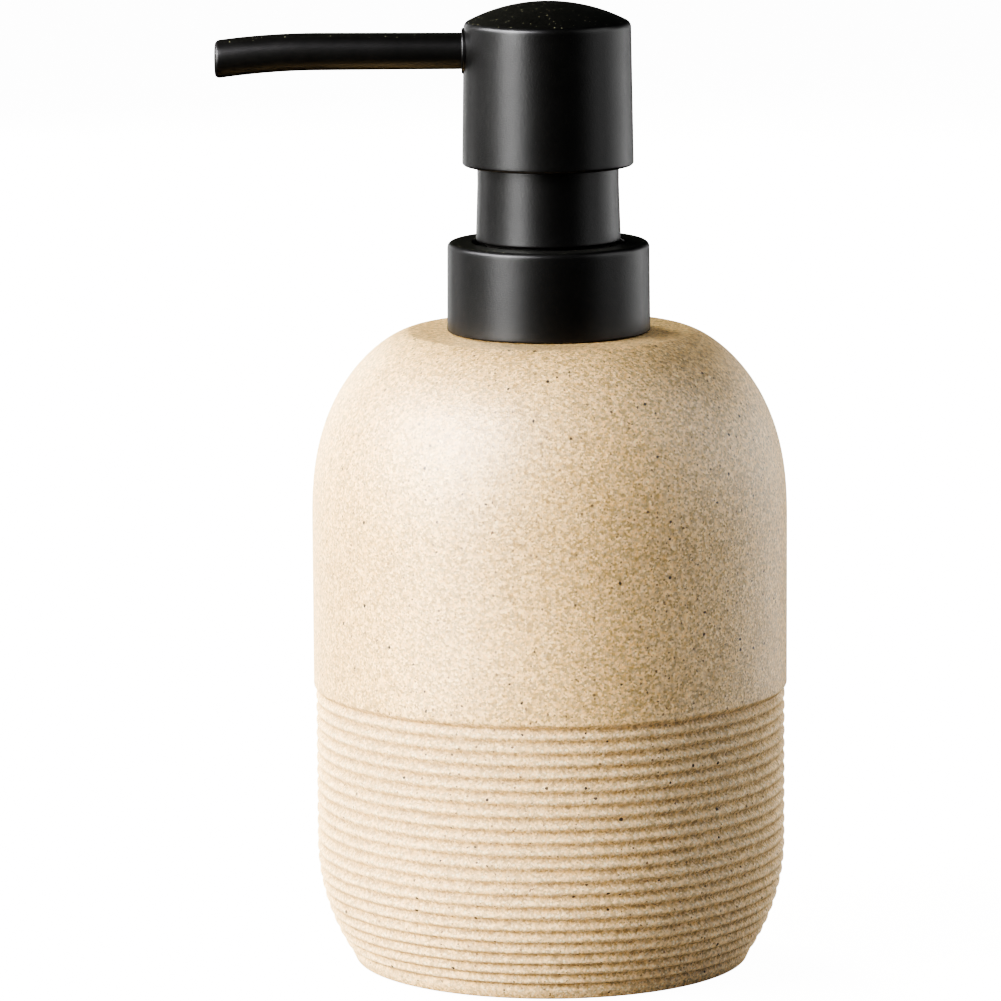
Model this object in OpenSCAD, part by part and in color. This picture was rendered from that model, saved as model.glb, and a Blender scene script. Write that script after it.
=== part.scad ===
// Soap pump dispenser: a cast stone-resin bottle with a ribbed foot, a glued-in
// threaded neck and a screw-on lotion pump with a domed press head.
// Origin: centre of the foot, on the surface that the bottle stands on.
// +Z points up through the pump and the spout points along -X. Millimetres.

/* [Bottle] */
// Diameter of the smooth upper part
bottle_d = 77; // [74:0.5:84]
// Height of the flat top above the surface it stands on
bottle_h = 103.6; // [98:0.2:125]
// Diameter of the flat top inside the round shoulder
top_flat_d = 45.2; // [38:0.2:50]
// Height of the round shoulder
shoulder_h = 30.8; // [24:0.2:36]
// Thickness of the cast side wall
wall = 5.5; // [4:0.5:7]
// Thickness of the cast floor
floor_t = 6.6; // [4:0.2:9]
// Diameter of the soft pad under the foot
pad_d = 56; // [40:1:58]
// Thickness of the soft pad
pad_t = 1.4; // [1:0.1:2]

/* [Ribs] */
// Number of grooves around the lower body
groove_count = 22; // [1:1:22]
// Distance from one groove to the next, along the surface
groove_pitch = 2.08; // [1.8:0.01:2.1]
// Depth of a groove
groove_depth = 0.45; // [0.2:0.05:0.6]
// Width of a groove at the surface
groove_w = 1.4; // [0.8:0.1:1.6]
// How far the ribbed surface lies inside the smooth one
rib_inset = 0.35; // [0.1:0.05:0.6]
// Radius of the curve that draws the foot in
foot_curve_r = 33.2; // [31:0.2:36]
// Height at which the foot starts to draw in
foot_curve_h = 20.2; // [18:0.2:21]

/* [Neck thread] */
// Major diameter of the neck thread
thread_d = 27.4; // [27:0.1:27.6]
// Root diameter of the neck thread
thread_root_d = 25.1; // [24.8:0.1:25.2]
// Pitch of the single-start thread
thread_pitch = 4.233; // [4:0.001:4.4]
// Bore of the neck
neck_bore_d = 21.2; // [20:0.2:22]
// Height of the neck above the bottle's top
neck_h = 9.7; // [9.6:0.05:9.8]

/* [Collar] */
// Outer diameter of the collar at its foot
collar_d = 32.8; // [32.4:0.1:35]
// Height of the collar
collar_h = 14.4; // [14.3:0.1:15.4]
// Diameter of the hole in the top of the collar
collar_hole_d = 24.8; // [24:0.1:26]

/* [Pump] */
// Inside diameter of the pump barrel
barrel_bore_d = 14; // [13.6:0.1:14.4]
// Travel of the head when it is pressed
stroke = 11.2; // [8:0.1:11.4]
// Outer diameter of the hollow stem
stem_d = 7.2; // [6.8:0.1:7.4]
// Travel of the piston on its seat, which opens the outlet ports
piston_lag = 1.2; // [0.8:0.1:1.4]
// Diameter of the inlet ball
ball_d = 4.8; // [4.6:0.1:4.9]
// Lift of the inlet ball
ball_lift = 1.5; // [1:0.1:1.6]
// Outer diameter of the dip tube
dip_tube_d = 6; // [5.4:0.2:6.4]
// Number of turns of the return spring
spring_turns = 11; // [8:1:12]
// Wire diameter of the return spring
spring_wire_d = 1; // [0.8:0.1:1]

/* [Sleeve and head] */
// Outer diameter of the fixed sleeve at its foot
sleeve_d = 23.4; // [23:0.1:23.6]
// Outer diameter of the sleeve near its top
sleeve_top_d = 22.8; // [22.4:0.1:23]
// Outer diameter of the head at its lower edge
head_d = 27.6; // [27.2:0.1:28.4]
// Outer diameter of the head just under the dome
head_top_d = 26.9; // [26.6:0.1:27.2]
// Height of the head from its lower edge to the top of the dome
head_h = 26.3; // [25.9:0.1:27]
// Radius of the shallow dome
dome_r = 28; // [26:0.5:34]
// Radius of the edge around the dome
dome_edge_r = 1.2; // [0.8:0.1:1.3]

/* [Spout] */
// Outer diameter of the spout
spout_d = 5.8; // [5.4:0.1:5.9]
// Bore of the spout
spout_bore_d = 3.9; // [3:0.1:4.2]
// Reach of the straight part from the pump's axis
spout_straight = 36.5; // [25:0.5:44]
// Radius of the downward bend
spout_bend_r = 120; // [80:5:200]
// Reach of the spout's end from the pump's axis
spout_reach = 53.4; // [48:0.2:60]

/* [Hidden] */

$fn = 96;
fine = 48;
tiny = 0.02;      // gap between faces that rest on each other
run = 0.05;       // radial running clearance
cut = 1;          // how far a cutting shape runs past the face it opens

stone_colour = "#d9c7a8";
black_colour = "#1b1b1c";
natural_colour = "#ece9e1";
steel_colour = "#b9bcc0";
pad_colour = "#2b2a29";

// --- bottle ---------------------------------------------------------------
body_r = bottle_d / 2;
rib_r = body_r - rib_inset;
top_flat_r = top_flat_d / 2;
shoulder_z = bottle_h - shoulder_h;
shoulder_steps = 14;
cavity_steps = 7;
shoulder_spread = 1.38;   // powers that shape the shoulder's curve
shoulder_rise = 0.81;
foot_lift = 0.4;          // the stone rim stands this far above the surface
foot_edge = 0.8;
first_groove_z = 45.2;
straight_ribs = first_groove_z - foot_curve_h;
floor_z = pad_t + floor_t;
top_wall = 6.5;
insert_hole_r = 13.3;
pad_r = pad_d / 2;
pad_gap = 0.2;

// --- levels of the stack on the neck --------------------------------------
neck_flange_t = 1.2;
neck_flange_r = 14.9;
rim_z = bottle_h + neck_h;
gasket_t = 1;
flange_z = rim_z + gasket_t + 2 * tiny;
flange_t = 1.5;
nut_web_z = flange_z + flange_t + tiny;
nut_web_t = 1.15;
collar_bottom_z = bottle_h + 0.1;
collar_top_z = bottle_h + collar_h + 0.1;

// --- threads --------------------------------------------------------------
thread_r = thread_d / 2;
thread_root_r = thread_root_d / 2;
thread_z = bottle_h + 3.3;        // middle of the neck's thread where it starts
thread_turns = 1.1;
nut_crest_r = thread_root_r + 0.35;
nut_root_r = thread_r + 0.2;
nut_drop = 0.43 * thread_pitch;   // the nut's thread bears under the neck's
nut_thread_from = 0.3;
nut_thread_to = 1.6;

// --- pump -----------------------------------------------------------------
barrel_r = barrel_bore_d / 2;
barrel_wall = 1;
barrel_out_r = barrel_r + barrel_wall;
housing_top_z = flange_z + flange_t + 2.2;
stem_r = stem_d / 2;
stem_bore_r = 2;
stem_top_z = 146;
stop_z = 112;              // underside of the guide, where the stem stops
stem_stop_t = 1.5;
stem_end_z = stop_z - tiny - stem_stop_t;
piston_top_z = stem_end_z - piston_lag - 0.05;
piston_hub_h = 6.3;
seat_z = piston_top_z - piston_hub_h;
seat_t = 1.7;
spring_top_z = seat_z - tiny - seat_t;
spring_base_z = 75.5;
spring_r = 4.4;
ball_r = ball_d / 2;
pocket_r = ball_r + 0.35;
inlet_r = 1.6;
cone_z = 70.2;             // top of the 45 degree ball seat
cone_drop = pocket_r - inlet_r;
ball_z = cone_z - pocket_r + ball_r * sqrt(2) + tiny;
tail_shoulder_z = 67.8;
tail_z = 60;
tail_r = 4.8;
tube_r = dip_tube_d / 2;
tube_wall = 0.9;
tube_foot_z = floor_z + 1.2;

// --- guide, sleeve and head -----------------------------------------------
guide_bore_r = stem_r + run;
guide_top_z = 124;
guide_cap_z = housing_top_z + tiny;
guide_cap_t = 1.5;
guide_cap_r = 9.9;
sleeve_foot_z = collar_top_z + 0.6;
sleeve_floor_z = guide_cap_z + guide_cap_t + tiny;
sleeve_floor_t = 1.4;
sleeve_top_z = 132.8;
sleeve_taper_z = 127.4;
sleeve_wall = 1.25;
head_z = collar_top_z + 1.2 + stroke;
head_r = head_d / 2;
head_top_r = head_top_d / 2;
head_apex_z = head_z + head_h;
head_wall = 1.45;
core_plate_z = 144.8;
core_plate_t = 1.45;
core_plate_r = 12.2;
core_boss_r = 6;
core_socket_r = 3.7;
core_socket_reach = 10.6;
core_tube_r = 5.3;
core_foot_z = 136;
spout_r = spout_d / 2;
spout_bore_r = spout_bore_d / 2;
spout_z = head_apex_z - 7.9;
spout_root_x = 4.6;
spout_boss_r = 3.7;
spout_boss_rise = 0.3;     // the boss stands this far out of the head

// Points of an arc, from angle a0 to a1 in steps
function arc(cx, cz, r, a0, a1, steps) = [
    for (i = [0:steps])
        let (a = a0 + (a1 - a0) * i / steps)
            [cx + r * cos(a), cz + r * sin(a)]
];

// The shoulder's curve from the flat top down to the side
function shoulder(side_r, flat_r, low_z, high_z, steps) = [
    for (i = [0:steps])
        let (a = 90 * i / steps)
            [flat_r + (side_r - flat_r) * pow(sin(a), shoulder_spread),
             low_z + (high_z - low_z) * pow(cos(a), shoulder_rise)]
];

// A point of the ribbed surface: s runs down along it, depth goes into it
function foot_angle(s) = s <= straight_ribs ? 0 : (s - straight_ribs) / foot_curve_r * 180 / PI;
function rib_point(s, depth) =
    let (a = foot_angle(s))
        [rib_r - foot_curve_r + (foot_curve_r - depth) * cos(a),
         (s <= straight_ribs ? first_groove_z - s : foot_curve_h) - (foot_curve_r - depth) * sin(a)];

// Three corners of each V-shaped groove, one groove after the other
function grooves() = [
    for (i = [0:groove_count - 1])
        for (side = [[-0.5, 0], [0, 1], [0.5, 0]])
            rib_point(i * groove_pitch + side[0] * groove_w, side[1] * groove_depth)
];

foot_end_angle = asin((foot_curve_h - foot_lift - foot_edge) / foot_curve_r);
foot_end_r = rib_r - foot_curve_r * (1 - cos(foot_end_angle));
cavity_r = body_r - wall;
cavity_curve_r = foot_curve_r - wall;
cavity_end_angle = asin((foot_curve_h - floor_z) / cavity_curve_r);

// One ridge of a right-hand thread, swept from one turn count to another, with
// tapered ends. The crest may lie outside the root or inside it.
module thread_ridge(root_r, crest_r, root_w, crest_w, helix_z, from_turn, to_turn) {
    steps = 36;
    first = round(from_turn * steps);
    last = round(to_turn * steps);
    lead = 5;
    rings = [
        for (i = [first:last])
            let (
                a = 360 * i / steps,
                z = helix_z + thread_pitch * i / steps,
                full = min(1, min(i - first, last - i) / lead + 0.12),
                tip_r = root_r + (crest_r - root_r) * full,
                half = (root_w + (crest_w - root_w) * full) / 2
            )
                for (p = [[root_r, -root_w / 2], [tip_r, -half], [tip_r, half], [root_r, root_w / 2]])
                    [p[0] * cos(a), p[0] * sin(a), z + p[1]]
    ];
    end = 4 * (last - first);
    sides = [
        for (i = [0:4:end - 4])
            for (j = [0:3])
                let (a = i + j, b = i + (j + 1) % 4)
                    each [[a, b, b + 4], [a, b + 4, a + 4]]
    ];
    caps = [[0, 3, 2], [0, 2, 1], [end, end + 1, end + 2], [end, end + 2, end + 3]];
    faces = concat(sides, caps);
    polyhedron(
        points = rings,
        faces = crest_r > root_r ? faces : [for (f = faces) [f[2], f[1], f[0]]]
    );
}

// --- bottle parts -----------------------------------------------------------
module bottle_body() {
    outline = concat(
        [[0, bottle_h]],
        shoulder(body_r, top_flat_r, shoulder_z, bottle_h, shoulder_steps),
        [[body_r, first_groove_z + groove_w / 2 + rib_inset]],
        grooves(),
        [[foot_end_r, foot_lift + foot_edge], [foot_end_r - foot_edge, foot_lift], [0, foot_lift]]
    );
    cavity = concat(
        [[0, bottle_h - top_wall]],
        shoulder(cavity_r, top_flat_r - wall / 2, shoulder_z, bottle_h - top_wall, cavity_steps),
        arc(cavity_r - cavity_curve_r, foot_curve_h, cavity_curve_r, 0, -cavity_end_angle, 4),
        [[0, floor_z]]
    );
    color(stone_colour)
    difference() {
        rotate_extrude() polygon(outline);
        rotate_extrude() polygon(cavity);
        translate([0, 0, bottle_h - top_wall - cut]) cylinder(r = insert_hole_r, h = top_wall + 2 * cut);
        translate([0, 0, foot_lift - cut]) cylinder(r = pad_r + pad_gap, h = pad_t - foot_lift + cut);
    }
}

module neck_insert() {
    plug_depth = top_wall + 1.5;
    plug_r = insert_hole_r - 0.1;
    ring = [
        [neck_bore_d / 2, bottle_h - plug_depth],
        [plug_r, bottle_h - plug_depth],
        [plug_r, bottle_h + tiny],
        [neck_flange_r, bottle_h + tiny],
        [neck_flange_r, bottle_h + neck_flange_t],
        [thread_root_r, bottle_h + neck_flange_t],
        [thread_root_r, rim_z - 0.4],
        [thread_root_r - 0.4, rim_z],
        [neck_bore_d / 2, rim_z]
    ];
    color(natural_colour) {
        rotate_extrude() polygon(ring);
        thread_ridge(thread_root_r - 0.3, thread_r, 2.5, 1.1, thread_z, 0, thread_turns);
    }
}

module base_pad() {
    color(pad_colour)
    rotate_extrude() polygon([[0, 0], [pad_r - 0.4, 0], [pad_r, 0.4], [pad_r, pad_t - tiny], [0, pad_t - tiny]]);
}

// --- fixed pump parts -------------------------------------------------------
module gasket() {
    color(natural_colour)
    translate([0, 0, rim_z + tiny])
    difference() {
        cylinder(r = thread_root_r - 0.1, h = gasket_t);
        translate([0, 0, -cut]) cylinder(r = barrel_out_r + 0.4, h = gasket_t + 2 * cut);
    }
}

module pump_housing() {
    flange_r = thread_root_r + 0.1;
    vent_r = 0.6;
    shell = [
        [barrel_r, housing_top_z],
        [barrel_out_r, housing_top_z],
        [barrel_out_r, flange_z + flange_t],
        [flange_r, flange_z + flange_t],
        [flange_r, flange_z],
        [barrel_out_r, flange_z],
        [barrel_out_r, spring_base_z - 1],
        [tail_r + 0.4, cone_z],
        [tail_r, tail_shoulder_z],
        [tail_r, tail_z],
        [tube_r + tiny, tail_z],
        [tube_r + tiny, tail_shoulder_z],
        [inlet_r, tail_shoulder_z],
        [inlet_r, cone_z - cone_drop],
        [pocket_r, cone_z],
        [pocket_r, spring_base_z],
        [barrel_r, spring_base_z]
    ];
    stud_z = ball_z + ball_lift + 1.6;
    color(natural_colour) {
        difference() {
            rotate_extrude() polygon(shell);
            translate([barrel_out_r + cut, 0, seat_z + 3.5])
                rotate([0, -90, 0]) cylinder(r = vent_r, h = barrel_wall + 2 * cut, $fn = fine);
        }
        // three studs that keep the ball in its pocket
        for (a = [0:120:240])
            rotate([0, 0, a]) translate([1.9, -0.5, stud_z]) cube([pocket_r - 1.9 + 0.4, 1, 1]);
    }
}

module inlet_ball() {
    color(steel_colour) translate([0, 0, ball_z]) sphere(r = ball_r);
}

module dip_tube() {
    color(natural_colour)
    difference() {
        translate([0, 0, tube_foot_z]) cylinder(r = tube_r, h = tail_shoulder_z - tiny - tube_foot_z);
        translate([0, 0, tube_foot_z - cut]) cylinder(r = tube_r - tube_wall, h = tail_shoulder_z);
        // the foot is cut on the slant so that it can't seal against the floor
        translate([0, 0, tube_foot_z + tube_r * 0.6]) rotate([0, 35, 0])
            translate([-4 * tube_r, -2 * tube_r, -4 * tube_r]) cube([8 * tube_r, 4 * tube_r, 4 * tube_r]);
    }
}

// Turns crowd together at both ends and spread out evenly between
module return_spring() {
    wire_r = spring_wire_d / 2;
    steps = 20;
    sides = 6;
    count = spring_turns * steps;
    closed = steps;
    low = spring_base_z + wire_r + tiny;
    high = spring_top_z - wire_r - tiny;
    function rise(i) =
        i < closed ? wire_r * 2.04 * i / steps :
        i > count - closed ? high - low - wire_r * 2.04 * (count - i) / steps :
        wire_r * 2.04 + (high - low - wire_r * 4.08) * (i - closed) / (count - 2 * closed);
    points = [
        for (i = [0:count])
            for (j = [0:sides - 1])
                let (a = 360 * i / steps, b = 360 * j / sides, r = spring_r + wire_r * cos(b))
                    [r * cos(a), r * sin(a), low + rise(i) + wire_r * sin(b)]
    ];
    walls = [
        for (i = [0:count - 1])
            for (j = [0:sides - 1])
                let (a = sides * i + j, b = sides * i + (j + 1) % sides)
                    each [[a, b, b + sides], [a, b + sides, a + sides]]
    ];
    first_cap = [for (j = [1:sides - 2]) [0, j + 1, j]];
    last_cap = [for (j = [1:sides - 2]) [sides * count, sides * count + j, sides * count + j + 1]];
    color(steel_colour) polyhedron(points = points, faces = concat(walls, first_cap, last_cap));
}

module stem_guide() {
    section = [
        [guide_bore_r, stop_z],
        [stem_r + 1.6, stop_z],
        [stem_r + 1.6, guide_cap_z],
        [barrel_r - 0.9, guide_cap_z],
        [barrel_r - 0.9, guide_cap_z - 3.5],
        [barrel_r - run, guide_cap_z - 3.5],
        [barrel_r - run, guide_cap_z],
        [barrel_out_r + run, guide_cap_z],
        [barrel_out_r + run, flange_z + flange_t + tiny],
        [guide_cap_r, flange_z + flange_t + tiny],
        [guide_cap_r, guide_cap_z + guide_cap_t],
        [stem_r + 1.6, guide_cap_z + guide_cap_t],
        [stem_r + 1.6, guide_top_z - 0.5],
        [stem_r + 1.1, guide_top_z],
        [guide_bore_r, guide_top_z]
    ];
    color(black_colour) rotate_extrude() polygon(section);
}

module neck_sleeve() {
    foot_r = sleeve_d / 2;
    neck_r = sleeve_top_d / 2;
    edge = 0.5;
    inner_r = neck_r - sleeve_wall;
    section = concat(
        [[guide_cap_r + run, sleeve_foot_z], [foot_r - edge, sleeve_foot_z]],
        arc(foot_r - edge, sleeve_foot_z + edge, edge, -60, 0, 4),
        [
            [neck_r, sleeve_taper_z],
            [neck_r, sleeve_top_z - 0.4],
            [neck_r - 0.4, sleeve_top_z],
            [inner_r, sleeve_top_z],
            [inner_r, sleeve_floor_z + sleeve_floor_t],
            [stem_r + 1.6 + run, sleeve_floor_z + sleeve_floor_t],
            [stem_r + 1.6 + run, sleeve_floor_z],
            [guide_cap_r + run, sleeve_floor_z]
        ]
    );
    color(black_colour) rotate_extrude() polygon(section);
}

// --- screw closure ------------------------------------------------------------
module closure_nut() {
    outer_r = collar_d / 2 - 1.5;
    bottom_z = bottle_h + neck_flange_t + 0.15;
    top_z = nut_web_z + nut_web_t;
    grip_count = 24;
    color(black_colour) {
        difference() {
            translate([0, 0, bottom_z]) cylinder(r = outer_r - 0.2, h = top_z - bottom_z);
            translate([0, 0, bottom_z - cut]) cylinder(r = nut_root_r, h = nut_web_z - bottom_z + cut);
            translate([0, 0, bottom_z]) cylinder(r = guide_cap_r + 0.3, h = top_z - bottom_z + cut);
        }
        // ridges that key the nut into the collar around it
        for (a = [0:360 / grip_count:359])
            rotate([0, 0, a]) translate([outer_r - 0.5, -0.4, bottom_z + 0.5]) cube([0.45, 0.8, 9]);
        thread_ridge(
            nut_root_r + 0.3, nut_crest_r, 2, 0.9,
            thread_z - nut_drop, nut_thread_from, nut_thread_to
        );
    }
}

module collar_shell() {
    foot_r = collar_d / 2;
    top_r = foot_r - 0.1;
    edge = 0.9;
    shell_t = 1.35;
    section = concat(
        [[collar_hole_d / 2, collar_top_z]],
        arc(top_r - edge, collar_top_z - edge, edge, 90, 0, 8),
        [
            [foot_r, collar_bottom_z + 0.2],
            [foot_r - 0.2, collar_bottom_z],
            [foot_r - shell_t, collar_bottom_z],
            [foot_r - shell_t, nut_web_z + nut_web_t + tiny],
            [collar_hole_d / 2, nut_web_z + nut_web_t + tiny]
        ]
    );
    color(black_colour) rotate_extrude() polygon(section);
}

// --- moving pump parts ----------------------------------------------------------
module stem() {
    section = [
        [stem_bore_r, stem_end_z],
        [stem_r + 1.2, stem_end_z],
        [stem_r + 1.2, stem_end_z + stem_stop_t],
        [stem_r, stem_end_z + stem_stop_t],
        [stem_r, stem_top_z - 0.5],
        [stem_r - 0.4, stem_top_z - tiny],
        [stem_bore_r, stem_top_z - tiny]
    ];
    color(black_colour) rotate_extrude() polygon(section);
}

module lower_stem() {
    plug_r = stem_bore_r - tiny;
    core_r = 2.6;
    seat_r = spring_r + 0.5;
    pin_r = spring_r - spring_wire_d / 2 - 0.3;
    section = [
        [0, spring_top_z - 3.2],
        [pin_r - 0.8, spring_top_z - 3.2],
        [pin_r, spring_top_z - 2.4],
        [pin_r, spring_top_z],
        [seat_r, spring_top_z],
        [seat_r, seat_z - tiny],
        [core_r, seat_z - tiny],
        [core_r, stem_end_z - tiny],
        [plug_r, stem_end_z - tiny],
        [plug_r, stem_end_z + 6],
        [0, stem_end_z + 6]
    ];
    port_z = seat_z + 1.6;
    port_r = 0.7;
    duct_r = 1.2;
    color(natural_colour)
    difference() {
        rotate_extrude() polygon(section);
        translate([0, 0, port_z - duct_r / 2]) cylinder(r = duct_r, h = 20, $fn = fine);
        for (a = [0, 90])
            rotate([0, 0, a]) translate([-5, 0, port_z]) rotate([0, 90, 0]) cylinder(r = port_r, h = 10, $fn = fine);
    }
}

module piston() {
    hub_in_r = 2.9;
    hub_out_r = 4.2;
    lip_r = barrel_r - run / 2;
    lip_in_r = barrel_r - 1;
    web_z = seat_z + 2.7;
    web_t = 1.4;
    low_z = seat_z - 0.9;
    high_z = piston_top_z + 0.5;
    section = [
        [hub_in_r, seat_z],
        [hub_out_r, seat_z],
        [hub_out_r, web_z],
        [lip_in_r, web_z],
        [lip_r - 0.3, low_z],
        [lip_r, low_z],
        [lip_r, low_z + 1.2],
        [lip_r - 0.25, low_z + 2],
        [lip_r - 0.25, high_z - 2],
        [lip_r, high_z - 1.2],
        [lip_r, high_z],
        [lip_r - 0.3, high_z],
        [lip_in_r, web_z + web_t],
        [hub_out_r, web_z + web_t],
        [hub_out_r, piston_top_z],
        [hub_in_r, piston_top_z]
    ];
    color(natural_colour) rotate_extrude() polygon(section);
}

// --- head -------------------------------------------------------------------
// Outside of the head from the lower edge up and over the dome to the axis
edge_centre_r = head_top_r - dome_edge_r;
dome_centre_z = head_apex_z - dome_r;
dome_edge_angle = acos(edge_centre_r / (dome_r - dome_edge_r));
edge_centre_z = dome_centre_z + (dome_r - dome_edge_r) * sin(dome_edge_angle);

module head_shell() {
    rim = 0.5;
    inner_r = head_r - head_wall;
    ledge_z = core_plate_z + core_plate_t + tiny;
    upper_in_r = head_top_r - head_wall - 0.35;
    inner_dome_r = dome_r - head_wall;
    inner_dome_angle = acos(upper_in_r / inner_dome_r);
    section = concat(
        [[inner_r, head_z]],
        arc(head_r - rim, head_z + rim, rim, -90, 0, 4),
        arc(edge_centre_r, edge_centre_z, dome_edge_r, 0, dome_edge_angle, 8),
        arc(0, dome_centre_z, dome_r, dome_edge_angle, 90, 10),
        arc(0, dome_centre_z, inner_dome_r, 90, inner_dome_angle, 8),
        [[upper_in_r, ledge_z], [core_plate_r + run, ledge_z]]
    );
    color(black_colour)
    difference() {
        union() {
            rotate_extrude() polygon(section);
            translate([head_wall - head_top_r, 0, spout_z])
                rotate([0, -90, 0]) cylinder(r = spout_boss_r, h = head_wall + spout_boss_rise, $fn = fine);
        }
        translate([0, 0, spout_z]) rotate([0, -90, 0]) cylinder(r = spout_r + run, h = head_r + cut);
    }
}

module head_core() {
    boss_top_z = spout_z + 3.6;
    rib_count = 6;
    rib_t = 1.2;
    solid_section = [
        [0, core_foot_z],
        [core_tube_r, core_foot_z],
        [core_tube_r, core_plate_z],
        [core_plate_r, core_plate_z],
        [core_plate_r, core_plate_z + core_plate_t],
        [core_boss_r, core_plate_z + core_plate_t],
        [core_boss_r, boss_top_z],
        [0, boss_top_z]
    ];
    color(black_colour)
    difference() {
        union() {
            rotate_extrude() polygon(solid_section);
            translate([0, 0, spout_z]) rotate([0, -90, 0]) cylinder(r = core_socket_r, h = core_socket_reach);
            // webs that stiffen the plate, clear of the spout's socket
            for (i = [1:rib_count - 1])
                rotate([0, 0, 180 + 360 * i / rib_count])
                    translate([core_boss_r - 1, -rib_t / 2, core_plate_z + core_plate_t - 0.5])
                        cube([core_plate_r - core_boss_r, rib_t, 3.5]);
        }
        translate([0, 0, core_foot_z - cut]) cylinder(r = stem_r + run, h = stem_top_z - core_foot_z + cut);
        translate([0, 0, stem_top_z - cut]) cylinder(r = stem_bore_r, h = spout_z - stem_top_z + cut);
        translate([0, 0, spout_z]) rotate([0, -90, 0]) cylinder(r = spout_bore_r, h = core_socket_reach);
        translate([-spout_root_x, 0, spout_z])
            rotate([0, -90, 0]) cylinder(r = spout_r + tiny, h = core_socket_reach);
    }
}

module tube_section() {
    difference() {
        circle(r = spout_r);
        circle(r = spout_bore_r);
    }
}

module spout() {
    overrun = 1;   // degrees that the bend runs past the cut
    bend = asin((spout_reach - spout_straight) / spout_bend_r) + overrun;
    color(black_colour)
    difference() {
        union() {
            translate([-spout_straight, 0, spout_z])
                rotate([0, 90, 0]) linear_extrude(spout_straight - spout_root_x - tiny) tube_section();
            translate([-spout_straight, 0, spout_z - spout_bend_r])
                rotate([90, 0, 0]) rotate([0, 0, 90])
                    rotate_extrude(angle = bend) translate([spout_bend_r, 0]) tube_section();
        }
        // the end is cut upright
        translate([-spout_reach - spout_d, 0, spout_z]) cube([2, 2, 8] * spout_d, center = true);
    }
}

bottle_body();
neck_insert();
base_pad();
gasket();
pump_housing();
inlet_ball();
dip_tube();
return_spring();
lower_stem();
piston();
stem();
stem_guide();
neck_sleeve();
closure_nut();
collar_shell();
head_core();
head_shell();
spout();
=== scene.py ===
import math

import bpy
import numpy as np
from mathutils import Matrix, Vector


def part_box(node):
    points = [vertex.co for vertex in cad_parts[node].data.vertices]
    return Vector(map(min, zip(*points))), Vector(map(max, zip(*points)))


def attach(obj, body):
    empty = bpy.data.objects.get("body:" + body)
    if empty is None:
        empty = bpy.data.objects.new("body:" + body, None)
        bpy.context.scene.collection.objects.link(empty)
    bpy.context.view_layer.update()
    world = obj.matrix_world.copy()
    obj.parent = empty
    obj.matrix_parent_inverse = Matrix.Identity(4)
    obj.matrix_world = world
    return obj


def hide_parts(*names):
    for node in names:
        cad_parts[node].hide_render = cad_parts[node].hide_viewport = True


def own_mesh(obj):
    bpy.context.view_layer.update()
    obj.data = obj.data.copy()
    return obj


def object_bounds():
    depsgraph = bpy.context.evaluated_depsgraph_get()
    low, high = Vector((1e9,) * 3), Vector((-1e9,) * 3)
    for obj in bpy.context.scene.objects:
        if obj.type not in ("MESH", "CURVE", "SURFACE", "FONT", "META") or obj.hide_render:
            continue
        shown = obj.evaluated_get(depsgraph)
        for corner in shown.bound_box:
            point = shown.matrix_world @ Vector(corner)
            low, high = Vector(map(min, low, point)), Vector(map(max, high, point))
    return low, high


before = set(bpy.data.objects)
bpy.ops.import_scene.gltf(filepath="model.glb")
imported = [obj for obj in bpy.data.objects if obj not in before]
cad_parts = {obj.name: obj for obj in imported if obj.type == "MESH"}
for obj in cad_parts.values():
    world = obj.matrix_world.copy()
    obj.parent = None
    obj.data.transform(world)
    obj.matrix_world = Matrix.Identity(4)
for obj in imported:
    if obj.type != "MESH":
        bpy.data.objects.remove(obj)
CAD_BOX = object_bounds()

# Soap pump dispenser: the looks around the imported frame. Metres, +Z up, and the
# spout points along -X. Places come from the frame's boxes; MM names small sizes.
MM = 0.001
SEED = 11

# Bottle
MOUTH_R = 13.3 * MM            # hole for the neck
FLAT_R = 22.6 * MM             # flat top inside the shoulder
SHOULDER_H = 30.8 * MM
SHOULDER_POWERS = (1.38, 0.81)
WALL = 5.5 * MM
TOP_WALL = 6.5 * MM
FIRST_GROOVE_Z = 45.2 * MM
GROOVES = 22
PITCH = 2.08 * MM
GROOVE_DEPTH = 0.5 * MM
RIB_INSET = 0.35 * MM
FOOT_R = 33.2 * MM             # radius of the curve that draws the foot in
FOOT_Z = 20.2 * MM
FOOT_EDGE = 0.8 * MM
CAVITY_FLOOR = 8 * MM
PAD_GAP = 0.2 * MM
BOTTLE_COLUMNS = 360
RIB_ROWS = 14                  # rows of points from one crest to the next

# Pump
COLUMNS = 160
SHELL_T = 1.35 * MM
HEAD_WALL = 1.45 * MM
DOME_R = 28 * MM
DOME_EDGE = 1.2 * MM
SPOUT_DROP = 7.9 * MM          # the spout's axis lies this far under the dome's top
SPOUT_R = 2.88 * MM
SPOUT_FLARE = 0.17 * MM
SPOUT_BORE_R = 1.95 * MM
SPOUT_STRAIGHT = 36.5 * MM
SPOUT_BEND_R = 120 * MM
BOSS_R = 3.7 * MM
SPRING_TURNS = 11
WIRE_R = 0.5 * MM
THREAD_PITCH = 4.233 * MM

# Light: azimuth in degrees and power in watts of each strip that the gloss shows.
# Azimuth 0 is the photographer's side, and it grows to the right.
# The strips behind the object are low, so that the dome doesn't mirror them.
TALL_STRIPS = (
    (-105, 0.7), (-90, 1.7), (-60, 11.8), (-45, 14.4), (-30, 1.4),
    (55, 0.7), (70, 2.7), (85, 1.4), (100, 2.9),
)
LOW_STRIPS = ((-155, 1.5), (-125, 1.3), (115, 1.25), (130, 1.7), (150, 0.6))

LIGHT_DISTANCE = 1.2

# Camera
LENS = 243.9                   # mm, on a 36 mm sensor
CAMERA_AT = (0, -1.085, 0.255)
CAMERA_PITCH = 9.38            # degrees down
CAMERA_YAW = 0.42
CAMERA_ROLL = 0.33


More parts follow.
